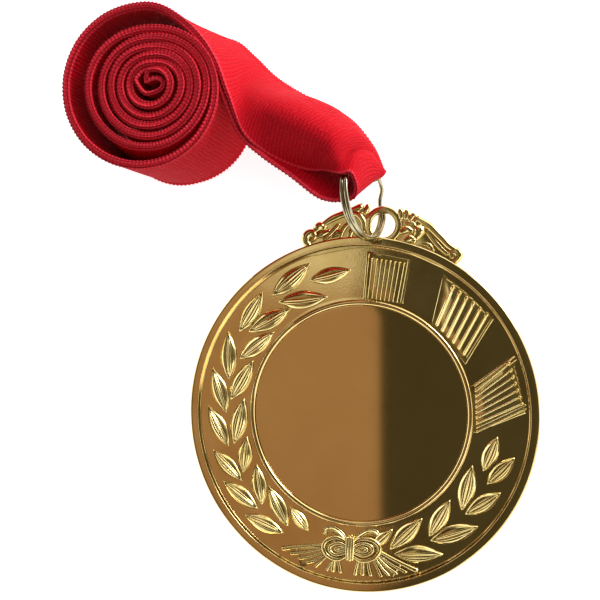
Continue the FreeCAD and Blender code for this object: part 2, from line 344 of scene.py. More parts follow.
def ribbon_material(name):
    """Woven ribbon: cross ribs and warp threads from the UV map, which is in millimetres."""
    n = Nodes(name)
    uv = n.add("ShaderNodeUVMap", uv_map="UVMap").outputs[0]
    split = n.add("ShaderNodeSeparateXYZ")
    n.link(uv, split.inputs[0])
    length, width = split.outputs[0], split.outputs[1]
    wobble = n.noise(1.1, 2.0, uv)
    drift = n.times(wobble, 0.9, length)
    ribs = n.math("SINE", n.times(drift, TAU / RIB_PITCH))
    threads = n.math("SINE", n.times(width, TAU / THREAD_PITCH))
    slant = n.times(width, TAU / (2 * THREAD_PITCH))
    twill = n.math("SINE", n.times(length, TAU / TWILL_PITCH, slant))
    fuzz = n.noise(6.0, 3.0, uv)
    height = ribs
    for layer, share in ((threads, 0.35), (twill, 0.25), (fuzz, 0.8)):
        height = n.times(layer, share, height)
    n.bump(height, WEAVE_DEPTH)
    # painted shade and highlight: the cloth is darker in the valleys between the ribs and
    # lighter on their crests; the fuzz adds random tone on top
    rib_shade_and_fuzz = n.times(ribs, 0.12, n.times(fuzz, 0.9, 0.02))
    cloth = n.ramp(rib_shade_and_fuzz, CLOTH_REDS)
    on_side = n.math("MODULO", width, BACK_SHIFT)
    from_middle = n.math("ABSOLUTE", n.math("SUBTRACT", on_side, WIDTH / 2))
    # painted shade and highlight on the cord too: it is lighter on the rib crests and darker in
    # the valleys
    cord = n.times(n.step(from_middle, CORD_START, CORD_FULL), n.times(ribs, 0.18, 0.75))
    n.link(n.mix(cord, cloth, CORD_RED), n.shader.inputs["Base Color"])
    n.settings({"Roughness": 0.7, "Specular IOR Level": 0.06, "Sheen Weight": 0.01,
                "Sheen Roughness": 0.4, "Sheen Tint": (1.0, 0.35, 0.38, 1.0)})
    return n.material


def adhesive_material(name, colour, roughness):
    """A plain film, slightly cloudy."""
    n = Nodes(name)
    cloudy = tuple(c * 0.94 for c in colour)
    n.link(n.ramp(n.noise(300.0, 2.0), [(0.3, cloudy), (0.7, colour)]),
           n.shader.inputs["Base Color"])
    n.settings({"Roughness": roughness})
    return n.material


gold = plated("gold_plating", (0.66, 0.49, 0.23), (0.80, 0.63, 0.33), 0.06, 0.07, 2600.0, 4e-6)
gold_relief = plated("gold_relief", (0.66, 0.52, 0.22), (0.84, 0.70, 0.36), 0.10, 0.12, 1900.0,
                     7e-6)
mirror = plated("mirror_gold", (0.72, 0.55, 0.28), (0.76, 0.59, 0.31), 0.03, 0.03, 300.0, 2e-8)
wire = plated("ring_wire", (0.34, 0.31, 0.22), (0.44, 0.40, 0.29), 0.12, 0.12, 1500.0, 3e-6)
film = adhesive_material("adhesive_film", (0.86, 0.86, 0.80), 0.5)
red = ribbon_material("red_ribbon")

# -------- the medal's casting

RIM_RADIUS, RIM_TOP, RIM_SOFT = 32.5, 3.6, 0.4
BEAD_RADIUS, BEAD_ROUND = 20.35, 0.5
SEAT_RADIUS, SEAT = 19.85, 1.5
DISC_RADIUS, DISC_LOW, DISC_TOP, DISC_SOFT = 19.79, 1.6, 2.5, 0.08


def casting_profile():
    """The turned section, up the outside and in over the face."""
    points = [(0.0, 0.0), (10.0, 0.0), (22.0, 0.0), (31.8, 0.0)]
    # the rim, hardly crowned
    points += corner((RIM_RADIUS - RIM_SOFT, RIM_SOFT), RIM_SOFT, -90, 0)
    points += corner((RIM_RADIUS - RIM_SOFT, RIM_TOP - RIM_SOFT), RIM_SOFT, 0, 90, 8)
    points += [(31.9, RIM_TOP + 0.005), (31.5, RIM_TOP + 0.01), (31.2, RIM_TOP)]
    # its steep step down to the field
    points += corner((31.05, 3.44), 0.16, 80, 165, 6)
    points += [(30.80, 3.10), (30.74, 2.84)]
    points += corner((30.54, 2.78), 0.18, -5, -90, 6)
    points += [(radius, FIELD) for radius in (30.3, 29.6, 25.0, 21.4, 20.98)]
    # the bead and the seat of the disc
    points += corner((BEAD_RADIUS, FIELD - 0.06), BEAD_ROUND, 8, 172, 15)
    points += [(SEAT_RADIUS + 0.01, FIELD - 0.04), (SEAT_RADIUS, 2.4), (SEAT_RADIUS, SEAT),
               (10.0, SEAT), (0.0, SEAT)]
    return points


def disc_profile():
    """The mirror disc's section; the last rings outside keep its reflection flat."""
    points = [(0.0, DISC_LOW), (DISC_RADIUS - 0.07, DISC_LOW), (DISC_RADIUS, DISC_LOW + 0.08),
              (DISC_RADIUS, DISC_TOP - DISC_SOFT)]
    points += corner((DISC_RADIUS - DISC_SOFT, DISC_TOP - DISC_SOFT), DISC_SOFT, 0, 90, 5)
    return points + [(radius, DISC_TOP) for radius in (19.66, 19.6, 12.0, 0.0)]


def turned_piece(name, profile, segments, material, slot):
    """A turned part of the medal."""
    shell = Shell()
    shell.add(*lathe(profile, segments))
    return shell.piece(name, material, "medal", slot, sharp=60)


casting_obj = turned_piece("medal_casting", casting_profile(), 720, gold, "gold_plating")
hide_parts("medal_body")
disc_obj = turned_piece("mirror_disc", disc_profile(), 360, mirror, "mirror_gold")
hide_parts("centre_disc")

# -------- the wreath

# each leaf from its base to its tip: bearing and distance from the centre, twice
OUTER_LEAVES = [
    (245.4, 26.7, 229.3, 29.3), (231.2, 26.5, 214.6, 29.3), (218.1, 25.9, 202.4, 29.1),
    (202.8, 25.9, 185.9, 29.1), (188.5, 25.5, 171.5, 29.4), (174.4, 25.7, 156.7, 29.3),
    (154.6, 27.4, 136.5, 29.0), (134.7, 27.3, 115.6, 29.2), (118.4, 26.2, 100.3, 26.4),
    (-68.4, 26.2, -50.9, 29.4), (-52.7, 26.2, -35.0, 29.3), (-35.2, 26.2, -20.5, 29.0),
    (-20.5, 26.2, -7.2, 29.0),
]
INNER_LEAVES = [
    (254.5, 24.0, 241.0, 21.9), (245.4, 25.2, 226.5, 22.1), (231.2, 25.5, 214.4, 21.9),
    (215.5, 25.1, 200.1, 21.9), (202.5, 24.8, 181.4, 22.1), (183.0, 24.8, 162.4, 22.3),
    (164.5, 24.9, 144.6, 21.9), (152.4, 25.9, 131.3, 23.2), (134.3, 25.6, 112.4, 22.1),
    (-76.9, 24.5, -65.9, 21.9), (-69.6, 25.3, -50.7, 22.1), (-52.3, 25.5, -35.0, 22.6),
    (-35.0, 25.3, -15.9, 22.5), (-16.5, 24.6, -1.0, 25.4),
]
LEAF_ROWS = np.linspace(0, 1, 33)
LEAF_COLUMNS = np.sort(np.r_[np.linspace(-0.92, 0.92, 27), -1, 1, -0.985, 0.985, -0.96, 0.96])
LEAF_HEIGHT = 1.15


def add_leaf(shell, base, tip, slenderness):
    """A pointed leaf: steep sides, two convex lobes and a ridged midrib."""
    along = tip - base
    length = np.linalg.norm(along)
    along = along / length
    side = np.array([-along[1], along[0]])
    u = LEAF_ROWS[:, None]
    v = LEAF_COLUMNS[None, :]
    half = slenderness * length * 0.5 * np.sin(math.pi * u ** 0.94) ** 0.86
    x = u * length
    y = v * half
    inward = 1 - np.abs(v)
    taper = np.clip(np.sin(math.pi * u), 0, 1) ** 0.5
    # the sides and the lobes, the grooves along the midrib and on one lobe, the midrib
    lift = 0.24 * smooth(inward, 0.0, 0.05) + 0.50 * np.sin(0.5 * math.pi * np.clip(
        (inward - 0.04) / 0.70, 0, 1))
    rib = smooth(u, 0.05, 0.2) * (1 - smooth(u, 0.78, 0.95))
    lift = lift - 0.20 * rib * bell(np.abs(v), 0.20, 0.075)
    lift = lift - 0.10 * rib * bell(v, -0.46, 0.07)
    lift = lift + 0.05 * rib * bell(v, 0.0, 0.07)
    z = FIELD - 0.02 + LEAF_HEIGHT * lift * taper
    px = base[0] + along[0] * x + side[0] * y
    py = base[1] + along[1] * x + side[1] * y
    shell.add_relief(np.stack(np.broadcast_arrays(px, py, z), axis=2), FIELD - SUNK)


def relief_piece(shell, name, sharp=40):
    """A finished part of the casting's relief."""
    shell.piece(name, gold_relief, "medal", "gold_plating", sharp)


left_wreath, right_wreath = Shell(), Shell()
for base_angle, base_radius, tip_angle, tip_radius in OUTER_LEAVES + INNER_LEAVES:
    target = left_wreath if base_angle > 90 else right_wreath
    base, tip = polar(base_angle, base_radius), polar(tip_angle, tip_radius)
    # short leaves are the stouter ones
    stout = 0.36 + 0.08 * float(1 - smooth(np.linalg.norm(tip - base), 5.5, 9.0))
    add_leaf(target, base, tip, stout)
relief_piece(left_wreath, "wreath_left")
relief_piece(right_wreath, "wreath_right")

# -------- the fluted blocks


def add_bar(shell, start, end, width, height, floor=FIELD, power=1.35):
    """A narrow ridge with rounded ends; the higher the power, the rounder its crest."""
    start, end = np.asarray(start, float), np.asarray(end, float)
    along = end - start
    length = np.linalg.norm(along)
    along /= length
    side = np.array([-along[1], along[0]])
    half = width / 2
    caps = half * (1 - np.cos(np.linspace(0, math.pi / 2, 6)))
    x = np.r_[-half + caps, np.linspace(0, length, 8)[1:-1], length + half - caps[::-1]]
    reach = np.sqrt(np.clip(half ** 2 - np.minimum(x, 0) ** 2, 0, None))
    over = np.clip(x - length, 0, None)
    reach = np.minimum(reach, np.sqrt(np.clip(half ** 2 - over ** 2, 0, None)))
    reach = np.maximum(reach, 1e-3)
    v = np.sin(np.linspace(-math.pi / 2, math.pi / 2, 13))
    y = reach[:, None] * v[None, :]
    z = floor - 0.01 + height * (reach[:, None] / half) * (1 - np.abs(v[None, :]) ** power)
    px = start[0] + along[0] * x[:, None] + side[0] * y
    py = start[1] + along[1] * x[:, None] + side[1] * y
    shell.add_relief(np.stack([px, py, z], axis=2), floor - SUNK)


def add_panel(shell, corners, height, bevel=0.16):
    """A low four-sided panel with bevelled edges, its corners going round."""
    a, b, c, d = [np.asarray(p, float) for p in corners]

    def stops(size):
        inside = [0.3 * size, 0.7 * size, size - bevel, size - bevel / 2, size]
        return np.array([0, bevel / 2, bevel] + inside) / size

    u = stops(0.5 * (np.linalg.norm(b - a) + np.linalg.norm(c - d)))[None, :, None]
    v = stops(0.5 * (np.linalg.norm(d - a) + np.linalg.norm(c - b)))[:, None, None]
    flat = (a * (1 - u) + b * u) * (1 - v) + (d * (1 - u) + c * u) * v
    step = np.array([0, 0.5, 1, 1, 1, 1, 0.5, 0])
    z = FIELD - 0.01 + height * np.minimum(step[:, None], step[None, :])
    shell.add_relief(np.concatenate([flat, z[:, :, None]], axis=2), FIELD - SUNK)


# the panels, their corners from the first outer one round
PANELS = [
    ((-2.3, 29.8), (6.0, 29.1), (5.6, 20.9), (-1.9, 20.9)),
    ((12.2, 27.2), (22.1, 20.2), (18.2, 11.4), (11.2, 17.8)),
    ((26.3, 14.2), (29.7, 4.3), (21.0, -0.6), (19.5, 7.6)),
]
# ribs, then the first and the last rib's inner and outer ends
FLUTED_BLOCKS = [
    (8, (-1.0, 21.3), (4.5, 21.1), (-1.1, 28.4), (4.9, 28.2)),
    (6, (12.2, 17.9), (17.7, 13.3), (14.2, 25.0), (20.8, 20.9)),
    (7, (20.6, 7.0), (21.5, 1.3), (25.7, 12.7), (28.9, 5.9)),
]
# thin frame lines beside the blocks, from the bead to the wall, and their widths
FRAME_LINES = [
    ((-1.5, 21.2), (-1.8, 29.3), 0.22), ((5.1, 21.2), (5.5, 28.8), 0.22),
    ((18.2, 12.8), (21.6, 20.2), 0.22),
    ((20.3, 7.9), (26.5, 14.0), 0.36), ((20.5, 7.4), (26.9, 13.5), 0.30),
    ((21.6, 0.5), (29.5, 5.8), 0.30), ((21.7, -0.2), (29.6, 5.1), 0.36),
]
PANEL = 0.10
# raised dashes along the wall: the bearings that each row goes between
DASH_ROWS = [(12.5, 24.8), (46.0, 64.0)]
DASHES, DASH_RADIUS = 6, 29.35

blocks = Shell()
for corners in PANELS:
    add_panel(blocks, corners, PANEL)
for count, inner_first, inner_last, outer_first, outer_last in FLUTED_BLOCKS:
    gap = np.linalg.norm(np.subtract(outer_last, outer_first)) / (count - 1)
    for number in range(count):
        share = number / (count - 1)
        inner = mix(inner_first, inner_last, share)
        outer = mix(outer_first, outer_last, share)
        add_bar(blocks, inner, outer, 0.42 * gap, 0.22, FIELD + PANEL)
        # the rib's raised outer end
        add_bar(blocks, mix(inner, outer, 0.975), outer, 0.62 * gap, 0.42, FIELD + PANEL, 2.0)
for start, end, width in FRAME_LINES:
    add_bar(blocks, start, end, width, 0.14, FIELD + PANEL)
for first, last in DASH_ROWS:
    for number in range(DASHES):
        ends = [polar(first + (last - first) * (number + share) / DASHES, DASH_RADIUS)
                for share in (0.15, 0.85)]
        add_bar(blocks, *ends, 0.40, 0.26, FIELD, 2.0)
relief_piece(blocks, "fluted_blocks")

# -------- the bow

ROPE_BOLD = 1.3
ROPE_Z = FIELD + 0.12
FLUTE_DEPTH = 0.2


def add_band(shell, line, halves, height, flutes, rows=28, cols=25):
    """A band of folded ribbon in relief: crowned, with lengthwise flutes."""
    params = np.linspace(0, len(line) - 1, rows)
    centre = catmull(line, params)
    half = catmull(np.array(halves)[:, None], params)
    tangent = unit(np.gradient(centre, axis=0))
    side = np.c_[-tangent[:, 1], tangent[:, 0]]
    v = np.linspace(-1, 1, cols)[None, :]
    u = np.linspace(0, 1, rows)[:, None]
    ends = np.clip(np.minimum(u, 1 - u) / 0.06, 0.0, 1.0) ** 0.5
    crown = np.clip(1 - v ** 4, 0, 1) ** 0.5
    wave = -FLUTE_DEPTH * (0.5 - 0.5 * np.cos(TAU * flutes * (v + 1) / 2)) * (1 - v ** 6)
    z = FIELD - 0.02 + (height * crown + wave) * ends
    x = centre[:, :1] + side[:, :1] * half * v
    y = centre[:, 1:] + side[:, 1:] * half * v
    shell.add_relief(np.stack([x, y, z], axis=2), FIELD - SUNK)


def rope(shell, points, radii, z, squash=0.9, rows=26, sides=14):
    """A scroll in relief: a tapering rope along a smooth line at one height."""
    params = np.linspace(0, len(points) - 1, rows)
    line = catmull(np.c_[points, np.full(len(points), z)], params)
    radius = ROPE_BOLD * catmull(np.array(radii)[:, None], params)[:, 0]
    shell.add_tube(line, radius, squash, sides)


# low bands: centre line, half widths, height and number of flutes
BOW_BANDS = [
    # the cushions of the two loops
    ([(1.2, -25.0), (-0.2, -25.1), (-1.6, -25.4), (-3.0, -25.5)], [0.9, 1.6, 1.7, 0.5], 0.42, 0),
    ([(2.2, -24.9), (3.6, -24.6), (5.2, -24.3), (6.8, -24.1)], [0.9, 1.8, 1.7, 0.6], 0.42, 0),
    # the upper lobes behind them
    ([(0.9, -23.8), (-0.3, -22.6), (-1.8, -21.9), (-3.1, -22.2), (-3.4, -23.3)],
     [0.5, 0.62, 0.66, 0.6, 0.4], 0.62, 2),
    ([(2.2, -23.5), (3.3, -22.2), (4.7, -21.2), (6.1, -21.2), (6.7, -22.3)],
     [0.5, 0.62, 0.66, 0.6, 0.4], 0.62, 2),
    # a wedge under each of the four tails
    ([(-2.4, -25.9), (-5.0, -27.1), (-7.8, -28.2)], [0.7, 1.5, 2.0], 0.22, 0),
    ([(6.2, -25.1), (8.4, -26.3), (10.8, -27.4)], [0.7, 1.3, 1.7], 0.22, 0),
    ([(-0.6, -26.9), (-0.8, -28.1), (-0.9, -29.5)], [0.6, 0.95, 1.25], 0.22, 0),
    ([(4.3, -26.5), (4.5, -27.9), (4.6, -29.3)], [0.9, 1.25, 1.5], 0.22, 0),
]
# the folds of the loops, one inside the other: line, radii, rise and rows
LOOP_FOLDS = [
    ([(1.2, -23.8), (-1.0, -23.2), (-2.8, -24.1), (-3.2, -25.5), (-2.2, -26.8), (-0.3, -27.1),
      (1.4, -26.1)], [0.24, 0.34, 0.38, 0.38, 0.36, 0.34, 0.22], 0.16, 40),
    ([(1.1, -24.4), (-0.5, -24.1), (-1.9, -24.9), (-1.9, -25.8), (-0.7, -26.3), (1.2, -25.6)],
     [0.22, 0.28, 0.30, 0.30, 0.28, 0.2], 0.34, 34),
    ([(1.0, -25.0), (-0.2, -24.8), (-0.9, -25.3), (0.0, -25.5), (1.0, -25.2)],
     [0.18, 0.24, 0.26, 0.24, 0.18], 0.40, 22),
    ([(2.1, -23.7), (3.5, -22.7), (5.4, -22.5), (6.8, -23.2), (7.1, -24.4), (6.1, -25.8),
      (4.1, -26.6), (2.4, -26.1)], [0.24, 0.34, 0.38, 0.38, 0.36, 0.36, 0.34, 0.22], 0.16, 40),
    ([(2.3, -24.3), (3.9, -23.4), (5.5, -23.6), (5.8, -24.6), (4.3, -25.6), (2.5, -25.4)],
     [0.22, 0.28, 0.30, 0.30, 0.28, 0.2], 0.34, 34),
    ([(2.6, -24.7), (4.0, -24.1), (4.9, -24.4), (4.1, -24.9), (2.7, -24.9)],
     [0.18, 0.24, 0.26, 0.24, 0.18], 0.40, 22),
]
# the knot's folds, each from its top to its bottom
KNOT_FOLDS = [((1.0, -22.9), (1.45, -26.7)), ((1.5, -22.7), (1.95, -26.8)),
              ((2.0, -22.8), (2.4, -26.6))]
# the narrow folds fanned out over the tails: three points, thin and broad radius
TAIL_FOLDS = [
    ((-3.4, -24.9), (-7.1, -26.0), (-10.8, -27.1), 0.20, 0.34),
    ((-3.3, -25.7), (-6.4, -26.9), (-9.1, -27.7), 0.18, 0.30),
    ((-3.2, -26.3), (-5.4, -27.6), (-7.5, -28.3), 0.18, 0.28),
    ((-2.9, -26.8), (-4.4, -28.1), (-5.9, -28.8), 0.18, 0.28),
    ((-2.6, -27.2), (-3.5, -28.3), (-4.2, -29.1), 0.18, 0.28),
    ((-0.9, -27.1), (-1.0, -28.3), (-1.0, -29.3), 0.26, 0.36),
    ((-0.3, -27.2), (0.1, -28.3), (0.4, -29.3), 0.22, 0.30),
    ((-1.3, -27.6), (-1.7, -28.6), (-2.1, -29.4), 0.18, 0.26),
    ((3.4, -27.0), (3.3, -28.2), (3.2, -29.2), 0.24, 0.32),
    ((4.3, -26.9), (4.4, -28.1), (4.5, -29.0), 0.24, 0.32),
    ((5.2, -26.6), (5.6, -27.8), (6.0, -28.8), 0.22, 0.30),
    ((7.2, -24.4), (10.3, -25.4), (14.0, -26.4), 0.26, 0.42),
    ((7.0, -25.0), (9.4, -26.2), (12.2, -27.1), 0.18, 0.30),
    ((6.8, -25.4), (8.8, -26.8), (10.6, -27.7), 0.18, 0.28),
    ((6.5, -25.7), (7.9, -27.2), (9.2, -28.2), 0.18, 0.28),
    ((6.1, -25.9), (7.1, -27.4), (7.9, -28.6), 0.18, 0.28),
]


def build_bow():
    """The bow below the wreath: low bands with raised folds, sunk into the field."""
    bow = Shell()
    for line, halves, height, flutes in BOW_BANDS:
        add_band(bow, line, halves, height, flutes)
    folds = list(LOOP_FOLDS)
    folds += [([top, mix(top, bottom, 0.5), bottom], [0.22, 0.30, 0.22], 0.55, 22)
              for top, bottom in KNOT_FOLDS]
    folds += [([start, middle, end], [thin, 0.5 * (thin + broad), broad], 0.0, 22)
              for start, middle, end, thin, broad in TAIL_FOLDS]
    for line, radii, rise, rows in folds:
        rope(bow, line, radii, ROPE_Z + rise, squash=1.3, rows=rows, sides=12)
    relief_piece(bow, "bow")


build_bow()

# -------- the crest

EYELET = (0.1, 34.8)
EYELET_HOLE, EYELET_OUTER, EYELET_SOFT, EYELET_STEPS = 2.22, 3.55, 0.36, 144
CREST_LOW, CREST_TOP = 1.9, 3.2
PLATE_TOP, PLATE_SOFT, PLATE_POINTS = 2.9, 0.3, 240
SCROLL_Z = 2.95


def outline_plate(shell, outline, clockwise=False):
    """A plate on a closed smooth curve; its edges are rounded, or flared if it's clockwise."""
    count = PLATE_POINTS
    ring = catmull(outline, np.linspace(0, len(outline), count, endpoint=False), closed=True)
    tangent = unit(np.roll(ring, -1, axis=0) - np.roll(ring, 1, axis=0))
    inward = np.c_[-tangent[:, 1], tangent[:, 0]]
    levels = [(PLATE_SOFT, CREST_LOW), (0.1, CREST_LOW + 0.1), (0, CREST_LOW + PLATE_SOFT),
              (0, PLATE_TOP - PLATE_SOFT)]
    levels += [(PLATE_SOFT * (1 - math.cos(a)), PLATE_TOP - PLATE_SOFT * (1 - math.sin(a)))
               for a in np.radians((30, 60, 90))]
    verts = np.vstack([np.c_[ring + inward * d, np.full(count, z)] for d, z in levels])
    faces = []
    for k in range(len(levels) - 1):
        faces += ring_quads(k * count, (k + 1) * count, count)
    faces.append(tuple(range(count))[::-1])
    last = (len(levels) - 1) * count
    faces.append(tuple(range(last, last + count)))
    if clockwise:
        faces = [face[::-1] for face in faces]
    shell.add(verts, faces)


# the plates' outlines, anticlockwise
LEFT_PLATE = [(-1.5, 30.8), (-2.6, 32.6), (-3.2, 34.4), (-3.4, 36.4), (-5.2, 36.9),
              (-7.4, 36.0), (-9.4, 35.0), (-11.0, 33.9), (-12.4, 32.9), (-13.6, 31.6),
              (-13.8, 29.8), (-13.0, 28.0), (-8.0, 29.4), (-4.0, 30.5)]
RIGHT_PLATE = [(1.5, 30.8), (4.0, 30.5), (8.0, 29.4), (13.0, 28.0), (14.3, 29.6),
               (14.4, 31.0), (12.6, 32.2), (10.8, 33.8), (8.5, 35.5), (6.3, 36.4),
               (4.4, 36.9), (3.5, 36.2), (3.3, 34.4), (2.7, 32.6)]
# the scrolls: line, radii and lift
SCROLLS = [
    # left side: end curl, knob, sloping edge, slanting bars and the S-scroll
    ([(-13.2, 29.4), (-14.0, 30.3), (-13.9, 31.5), (-13.0, 32.0), (-12.5, 31.2), (-13.0, 30.6)],
     [0.45, 0.6, 0.65, 0.6, 0.5, 0.4], 0.0),
    ([(-12.4, 32.6), (-11.7, 33.3), (-10.9, 33.2)], [0.5, 0.75, 0.5], 0.0),
    ([(-11.3, 33.6), (-9.6, 35.0), (-7.8, 36.0), (-6.0, 36.9), (-4.6, 37.6)],
     [0.35, 0.5, 0.5, 0.5, 0.6], 0.0),
    ([(-12.4, 31.2), (-11.2, 31.9), (-9.9, 32.6)], [0.3, 0.5, 0.35], 0.0),
    ([(-10.6, 31.0), (-9.4, 32.3), (-8.2, 33.9)], [0.3, 0.42, 0.35], 0.0),
    ([(-9.0, 31.9), (-8.2, 32.5), (-7.4, 32.6)], [0.35, 0.5, 0.4], 0.0),
    ([(-7.6, 31.4), (-7.2, 33.2), (-6.2, 34.6)], [0.3, 0.4, 0.35], 0.0),
    ([(-5.9, 31.6), (-5.6, 33.0), (-4.9, 34.2)], [0.35, 0.5, 0.4], 0.0),
    ([(-6.4, 35.9), (-5.3, 36.4), (-4.2, 35.9), (-3.5, 34.8), (-3.3, 33.4)],
     [0.3, 0.42, 0.45, 0.42, 0.3], 0.15),
    ([(-4.3, 31.4), (-3.8, 32.6), (-3.5, 33.4)], [0.3, 0.5, 0.3], 0.0),
    # right side: two balls, hook, dome, sloping band and end curl
    ([(3.7, 33.9), (4.6, 34.5), (5.5, 34.3)], [0.35, 0.6, 0.4], 0.1),
    ([(4.6, 32.4), (5.5, 32.9), (6.2, 32.6)], [0.35, 0.6, 0.4], 0.1),
    ([(4.4, 35.5), (5.4, 35.7), (6.0, 35.0), (5.9, 34.0)], [0.3, 0.4, 0.4, 0.3], 0.0),
    ([(6.6, 33.4), (7.0, 34.6), (7.4, 35.4)], [0.6, 0.95, 0.6], -0.1),
    ([(6.4, 36.6), (8.6, 35.5), (10.9, 33.7), (12.6, 32.3), (14.2, 31.5)],
     [0.4, 0.55, 0.55, 0.5, 0.4], 0.1),
    ([(8.4, 34.4), (9.6, 33.2), (11.0, 31.9), (12.4, 30.9)], [0.35, 0.45, 0.45, 0.35], -0.1),
    ([(8.0, 32.2), (9.0, 32.0), (9.8, 31.2)], [0.3, 0.45, 0.3], -0.1),
    ([(14.0, 29.6), (14.6, 30.6), (14.1, 31.5), (13.2, 31.2), (13.4, 30.4)],
     [0.45, 0.6, 0.62, 0.5, 0.4], 0.0),
]
# the two tufts of short leaves beside the eyelet, each from its tip to its base
TUFTS = [
    ((-5.6, 37.5), (-4.9, 36.5)), ((-4.4, 38.2), (-4.2, 36.8)), ((-3.1, 38.2), (-3.4, 36.8)),
    ((-6.8, 36.7), (-6.0, 36.2)), ((3.0, 38.0), (3.3, 36.6)), ((4.2, 38.0), (4.2, 36.6)),
    ((5.6, 37.5), (5.0, 36.4)), ((6.6, 37.0), (5.9, 36.2)),
]


def build_crest():
    """The crest beside the eyelet: two plates, with scrolls and tufts on them."""
    crest = Shell()
    outline_plate(crest, LEFT_PLATE[::-1], clockwise=True)
    outline_plate(crest, RIGHT_PLATE)
    for line, radii, lift in SCROLLS:
        rope(crest, line, radii, SCROLL_Z + lift)
    for tip, base in TUFTS:
        rope(crest, [base, mix(base, tip, 0.5), mix(base, tip, 0.8)], [0.40, 0.45, 0.42],
             SCROLL_Z, rows=10)
    relief_piece(crest, "crest")


def build_eyelet():
    """The eyelet: a flat-topped ring with rounded edges, closed on itself."""
    soft = EYELET_SOFT
    inside, outside = EYELET_HOLE + soft, EYELET_OUTER - soft
    under, over = CREST_LOW + soft, CREST_TOP - soft
    section = (corner((outside, over), soft, 0, 90, 7) + corner((inside, over), soft, 90, 180, 7)
               + corner((inside, under), soft, 180, 270, 7)
               + corner((outside, under), soft, 270, 360, 7))
    sides = len(section)
    verts, faces = [], []
    for k in range(EYELET_STEPS):
        a = TAU * k / EYELET_STEPS
        verts += [(EYELET[0] + r * math.cos(a), EYELET[1] + r * math.sin(a), z)
                  for r, z in section]
        faces += ring_quads((k + 1) % EYELET_STEPS * sides, k * sides, sides)
    shell = Shell()
    shell.add(verts, faces)
    relief_piece(shell, "eyelet", sharp=0)


build_crest()
build_eyelet()

# -------- the ribbon

# the split ring's own frame, as in the CAD part
RING_CENTRE = np.array([-3.15, 38.86, 7.95])
RING_LEAN, RING_TURN = math.radians(72.5), math.radians(13.5)
AXIS = np.array([math.sin(RING_LEAN) * math.cos(RING_TURN),
                 math.sin(RING_LEAN) * math.sin(RING_TURN), math.cos(RING_LEAN)])
LEVEL = np.array([-math.sin(RING_TURN), math.cos(RING_TURN), 0.0])
STEEP = np.cross(AXIS, LEVEL)
RING_RADIUS = 7.4


def at_ring(level, steep, axial):
    """A point in the ring's own frame."""
    return RING_CENTRE + level * LEVEL + steep * STEEP + axial * AXIS


CORE = np.array([-42.0, 54.3])
# places across the ribbon's width that each station has, from its upper to its lower edge
ACROSS = np.array([0.0, 0.25, 0.5, 0.75, 1.0])
# half the distance between the two strands of the doubled ribbon
STRAND = 0.33
# the pair's distance from the core every quarter turn, from the top round to the left
ROLL_RADII = [13.3, 16.4, 15.0, 12.1, 9.6, 11.9, 11.6, 10.5, 8.0, 9.4, 9.6, 8.9, 6.5, 7.6, 7.8,
              7.4, 5.1, 5.8, 6.1, 5.9, 3.7, 4.1, 4.2, 3.8, 2.5, 2.5]


def pair_line():
    """The doubled ribbon's middle line in the roll, from outside in, with its normals."""
    params = np.linspace(0, len(ROLL_RADII) - 1, 40 * (len(ROLL_RADII) - 1) + 1)
    radius = catmull(np.array(ROLL_RADII)[:, None], params)[:, 0]
    angle = math.pi / 2 + params * math.pi / 2
    line = CORE + radius[:, None] * np.c_[np.cos(angle), np.sin(angle)]
    tangent = unit(np.gradient(line, axis=0))
    return params, radius, angle, line, np.c_[tangent[:, 1], -tangent[:, 0]]


def roll_stations(sign):
    """Upright stations of one strand of the roll: sign +1 is the outer strand."""
    params, radius, angle, line, outward = pair_line()
    strand = line + outward * (STRAND * sign)
    keep = slice(0, None, 10)
    stations = []
    for p, r, a, (x, y), out in zip(params[keep], radius[keep], angle[keep], strand[keep],
                                    outward[keep]):
        flare = 1.25 * max(0.0, math.cos(a + math.radians(35))) * min(1, r / 13) ** 3
        flare += 2.9 * math.exp(-((p - 5.9) / 0.9) ** 2)
        flare += 2.0 * math.exp(-((p - 9.9) / 0.9) ** 2)
        flare -= 0.9 * math.exp(-((p - 1.9) / 0.7) ** 2)
        flare += 0.12 * math.sin(2.3 * p + sign)
        lift = 0.22 * math.sin(1.7 * p + 0.8 * sign) + 0.12 * math.sin(4.1 * p)
        low = 0.06 + 0.05 * (1 + math.sin(1.3 * p))
        top = 19.75 + lift
        rows = []
        for v in ACROSS:
            z = top + (low - top) * v
            push = flare * v + 0.10 * math.sin(math.pi * v)
            rows.append((x + out[0] * push, y + out[1] * push, z))
        stations.append(rows)
    return stations


def teardrop():
    """The closed end of the doubled ribbon, in the core of the roll."""
    loop = [(-1.0, -1.95), (0.6, -1.75), (2.0, -0.95), (2.35, 0.1), (1.55, 0.75), (0.2, 0.6),
            (-0.9, 0.1)]
    stations = []
    for number, (x, y) in enumerate(loop):
        top = 19.6 - 0.25 * math.sin(number)
        stations.append([(CORE[0] + x, CORE[1] + y, top + (0.1 - top) * v) for v in ACROSS])
    return stations


